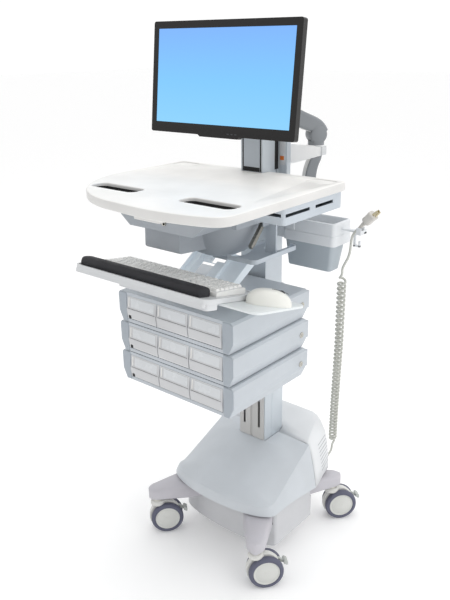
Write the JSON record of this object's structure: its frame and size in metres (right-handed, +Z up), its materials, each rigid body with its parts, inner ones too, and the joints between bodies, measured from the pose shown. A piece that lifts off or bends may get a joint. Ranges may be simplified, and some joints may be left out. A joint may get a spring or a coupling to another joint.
{
  "type": "medication cart",
  "caption": "Powered medication cart with a height-adjustable column, locking drawer cabinets, worksurface, tilting keyboard tray, display arm, side bin and coiled mains cord.",
  "frame": {"origin": "centre of the footprint's box on the floor, with the mains cord and its plug left out", "axes": "+X to the user's right, +Y to the back of the cart, +Z up"},
  "size_m": [0.6515, 0.7446, 1.5231],
  "materials": {
    "shell_white": "moulded, fine grain",
    "cover_blue": "moulded, fine grain",
    "cabinet_grey": "moulded, fine grain",
    "drawer_white": "moulded, fine grain",
    "cast_frame": "powder coated casting",
    "column_extrusion": "anodised extrusion",
    "column_cream": "moulded, satin",
    "spring_black": "black enamel",
    "spring_rod": "ground and polished",
    "caster_grey": "moulded nylon",
    "wheel_tread": "polyurethane tread on a grey hub",
    "pedal_grey": "moulded nylon",
    "carrier_steel": "powder coat",
    "lock_metal": "satin",
    "housing_grey": "moulded, fine grain",
    "bin_grey": "moulded, satin",
    "bracket_grey": "powder coat",
    "tray_white": "moulded, satin",
    "palm_black": "soft foam skin",
    "keyboard_white": "moulded, satin",
    "mouse_tray_grey": "polished",
    "display_black": "polished",
    "arm_light": "powder coat",
    "arm_grey": "powder coat",
    "yoke_dark": "powder coat",
    "cord_grey": "smooth jacket",
    "plug_grey": "moulded"
  },
  "bodies": {
    "base": {"base_frame": "cast_frame", "base_skirt": "shell_white", "front_cover": "cover_blue", "rear_cover": "shell_white", "battery_pack": "spring_black", "fixed_column": "column_extrusion", "column_cover": "column_cream", "gas_spring_body": "spring_black", "cord_tail": "cord_grey", "cord_coil": "cord_grey"},
    "fork_fr": {"caster_fr": "caster_grey"},
    "wheelset_fr": {"wheels_fr": "wheel_tread"},
    "brake_fr": {"brake_pedal_fr": "pedal_grey"},
    "fork_fl": {"caster_fl": "caster_grey"},
    "wheelset_fl": {"wheels_fl": "wheel_tread"},
    "brake_fl": {"brake_pedal_fl": "pedal_grey"},
    "fork_rr": {"caster_rr": "caster_grey"},
    "wheelset_rr": {"wheels_rr": "wheel_tread"},
    "brake_rr": {"brake_pedal_rr": "pedal_grey"},
    "fork_rl": {"caster_rl": "caster_grey"},
    "wheelset_rl": {"wheels_rl": "wheel_tread"},
    "brake_rl": {"brake_pedal_rl": "pedal_grey"},
    "lift": {"moving_column": "column_extrusion", "gas_spring_rod": "spring_rod", "worksurface": "shell_white", "head_housing": "housing_grey", "tech_box": "cover_blue", "drawer_carrier": "carrier_steel", "cabinet_low": "cabinet_grey", "cabinet_mid": "cabinet_grey", "cabinet_top": "cabinet_grey", "storage_bin": "bin_grey", "scanner_holder": "bracket_grey", "arm_link": "arm_light", "cord_lead": "cord_grey", "cord_plug": "plug_grey"},
    "drawer_11_body": {"drawer_11": "drawer_white"},
    "drawer_12_body": {"drawer_12": "drawer_white"},
    "drawer_13_body": {"drawer_13": "drawer_white"},
    "drawer_21_body": {"drawer_21": "drawer_white"},
    "drawer_22_body": {"drawer_22": "drawer_white"},
    "drawer_23_body": {"drawer_23": "drawer_white"},
    "drawer_31_body": {"drawer_31": "drawer_white"},
    "drawer_32_body": {"drawer_32": "drawer_white"},
    "drawer_33_body": {"drawer_33": "drawer_white"},
    "cylinder_low": {"side_lock_low": "lock_metal"},
    "cylinder_mid": {"side_lock_mid": "lock_metal"},
    "cylinder_top": {"side_lock_top": "lock_metal"},
    "front_cylinder": {"front_lock": "lock_metal"},
    "lever": {"lift_lever": "lock_metal"},
    "kb_arm": {"keyboard_arm": "bracket_grey"},
    "kb_tray": {"keyboard_tray": "tray_white", "palm_rest": "palm_black", "keyboard": "keyboard_white"},
    "mouse_shelf": {"mouse_tray": "mouse_tray_grey"},
    "mouse_body": {"mouse": "keyboard_white"},
    "post": {"arm_post": "arm_grey"},
    "arm": {"forearm": "arm_grey"},
    "yoke": {"display_yoke": "yoke_dark"},
    "screen": {"display": "display_black"}
  },
  "joints": [
    {"name": "caster_swivel_fr", "type": "hinge", "parent": "base", "child": "fork_fr", "pos_m": [0.181, -0.109, 0.115], "axis": [0, 0, 1], "continuous": true},
    {"name": "wheel_spin_fr", "type": "hinge", "parent": "fork_fr", "child": "wheelset_fr", "pos_m": [0.19871, -0.08862, 0.051], "axis": [-0.7547, 0.6561, 0], "continuous": true},
    {"name": "brake_fr", "type": "hinge", "parent": "fork_fr", "child": "brake_fr", "pos_m": [0.2243, -0.05919, 0.076], "axis": [-0.7547, 0.6561, 0], "range_deg": [0, 12]},
    {"name": "caster_swivel_fl", "type": "hinge", "parent": "base", "child": "fork_fl", "pos_m": [-0.211, -0.109, 0.115], "axis": [0, 0, 1], "continuous": true},
    {"name": "wheel_spin_fl", "type": "hinge", "parent": "fork_fl", "child": "wheelset_fl", "pos_m": [-0.19329, -0.08862, 0.051], "axis": [-0.7547, 0.6561, 0], "continuous": true},
    {"name": "brake_fl", "type": "hinge", "parent": "fork_fl", "child": "brake_fl", "pos_m": [-0.1677, -0.05919, 0.076], "axis": [-0.7547, 0.6561, 0], "range_deg": [0, 12]},
    {"name": "caster_swivel_rr", "type": "hinge", "parent": "base", "child": "fork_rr", "pos_m": [0.181, 0.295, 0.115], "axis": [0, 0, 1], "continuous": true},
    {"name": "wheel_spin_rr", "type": "hinge", "parent": "fork_rr", "child": "wheelset_rr", "pos_m": [0.19871, 0.31538, 0.051], "axis": [-0.7547, 0.6561, 0], "continuous": true},
    {"name": "brake_rr", "type": "hinge", "parent": "fork_rr", "child": "brake_rr", "pos_m": [0.2243, 0.34481, 0.076], "axis": [-0.7547, 0.6561, 0], "range_deg": [0, 12]},
    {"name": "caster_swivel_rl", "type": "hinge", "parent": "base", "child": "fork_rl", "pos_m": [-0.211, 0.295, 0.115], "axis": [0, 0, 1], "continuous": true},
    {"name": "wheel_spin_rl", "type": "hinge", "parent": "fork_rl", "child": "wheelset_rl", "pos_m": [-0.19329, 0.31538, 0.051], "axis": [-0.7547, 0.6561, 0], "continuous": true},
    {"name": "brake_rl", "type": "hinge", "parent": "fork_rl", "child": "brake_rl", "pos_m": [-0.1677, 0.34481, 0.076], "axis": [-0.7547, 0.6561, 0], "range_deg": [0, 12]},
    {"name": "column_lift", "type": "slide", "parent": "base", "child": "lift", "axis": [0, 0, 1], "range_m": [-0.24, 0.1], "deforming": ["cord_coil"]},
    {"name": "drawer_slide_11", "type": "slide", "parent": "lift", "child": "drawer_11_body", "axis": [0, -1, 0], "range_m": [0, 0.22]},
    {"name": "drawer_slide_12", "type": "slide", "parent": "lift", "child": "drawer_12_body", "axis": [0, -1, 0], "range_m": [0, 0.22]},
    {"name": "drawer_slide_13", "type": "slide", "parent": "lift", "child": "drawer_13_body", "axis": [0, -1, 0], "range_m": [0, 0.22]},
    {"name": "drawer_slide_21", "type": "slide", "parent": "lift", "child": "drawer_21_body", "axis": [0, -1, 0], "range_m": [0, 0.22]},
    {"name": "drawer_slide_22", "type": "slide", "parent": "lift", "child": "drawer_22_body", "axis": [0, -1, 0], "range_m": [0, 0.22]},
    {"name": "drawer_slide_23", "type": "slide", "parent": "lift", "child": "drawer_23_body", "axis": [0, -1, 0], "range_m": [0, 0.22]},
    {"name": "drawer_slide_31", "type": "slide", "parent": "lift", "child": "drawer_31_body", "axis": [0, -1, 0], "range_m": [0, 0.22]},
    {"name": "drawer_slide_32", "type": "slide", "parent": "lift", "child": "drawer_32_body", "axis": [0, -1, 0], "range_m": [0, 0.22]},
    {"name": "drawer_slide_33", "type": "slide", "parent": "lift", "child": "drawer_33_body", "axis": [0, -1, 0], "range_m": [0, 0.22]},
    {"name": "side_lock_turn_low", "type": "hinge", "parent": "lift", "child": "cylinder_low", "pos_m": [0.186, 0.087, 0.6275], "axis": [1, 0, 0], "range_deg": [0, 90]},
    {"name": "side_lock_turn_mid", "type": "hinge", "parent": "lift", "child": "cylinder_mid", "pos_m": [0.186, 0.087, 0.7151], "axis": [1, 0, 0], "range_deg": [0, 90]},
    {"name": "side_lock_turn_top", "type": "hinge", "parent": "lift", "child": "cylinder_top", "pos_m": [0.186, 0.087, 0.8027], "axis": [1, 0, 0], "range_deg": [0, 90]},
    {"name": "front_lock_turn", "type": "hinge", "parent": "lift", "child": "front_cylinder", "pos_m": [0.002, -0.237, 1.066], "axis": [0, -1, 0], "range_deg": [0, 90]},
    {"name": "lift_lever_pull", "type": "hinge", "parent": "lift", "child": "lever", "pos_m": [0.11, 0.013, 1.036], "axis": [-1, 0, 0], "range_deg": [0, 12], "stiffness_Nm_per_rad": 1},
    {"name": "keyboard_arm_tilt", "type": "hinge", "parent": "lift", "child": "kb_arm", "pos_m": [-0.015, -0.002, 0.929], "axis": [1, 0, 0], "range_deg": [-6, 5]},
    {"name": "keyboard_tray_tilt", "type": "hinge", "parent": "kb_arm", "child": "kb_tray", "pos_m": [-0.015, -0.104, 0.867], "axis": [1, 0, 0], "range_deg": [-5, 11]},
    {"name": "mouse_tray_slide", "type": "slide", "parent": "kb_tray", "child": "mouse_shelf", "axis": [1, 0, 0], "range_m": [0, 0.08]},
    {"name": "mouse_slide", "type": "slide", "parent": "mouse_shelf", "child": "mouse_body", "axis": [0, 0.9806, -0.1959], "range_m": [-0.05, 0.03]},
    {"name": "arm_swivel", "type": "hinge", "parent": "lift", "child": "post", "pos_m": [0.113, 0.243, 1.195], "axis": [0, 0, 1], "range_deg": [-20, 40]},
    {"name": "forearm_lift", "type": "hinge", "parent": "post", "child": "arm", "pos_m": [0.113, 0.243, 1.234], "axis": [0.8387, -0.5446, 0], "range_deg": [-12, 8]},
    {"name": "display_pan", "type": "hinge", "parent": "arm", "child": "yoke", "pos_m": [0.00407, 0.07527, 1.378], "axis": [0, 0, 1], "range_deg": [-25, 25]},
    {"name": "display_tilt", "type": "hinge", "parent": "yoke", "child": "screen", "pos_m": [0.00556, 0.0413, 1.378], "axis": [0.999, 0.0436, 0], "range_deg": [-12, 8]}
  ]
}
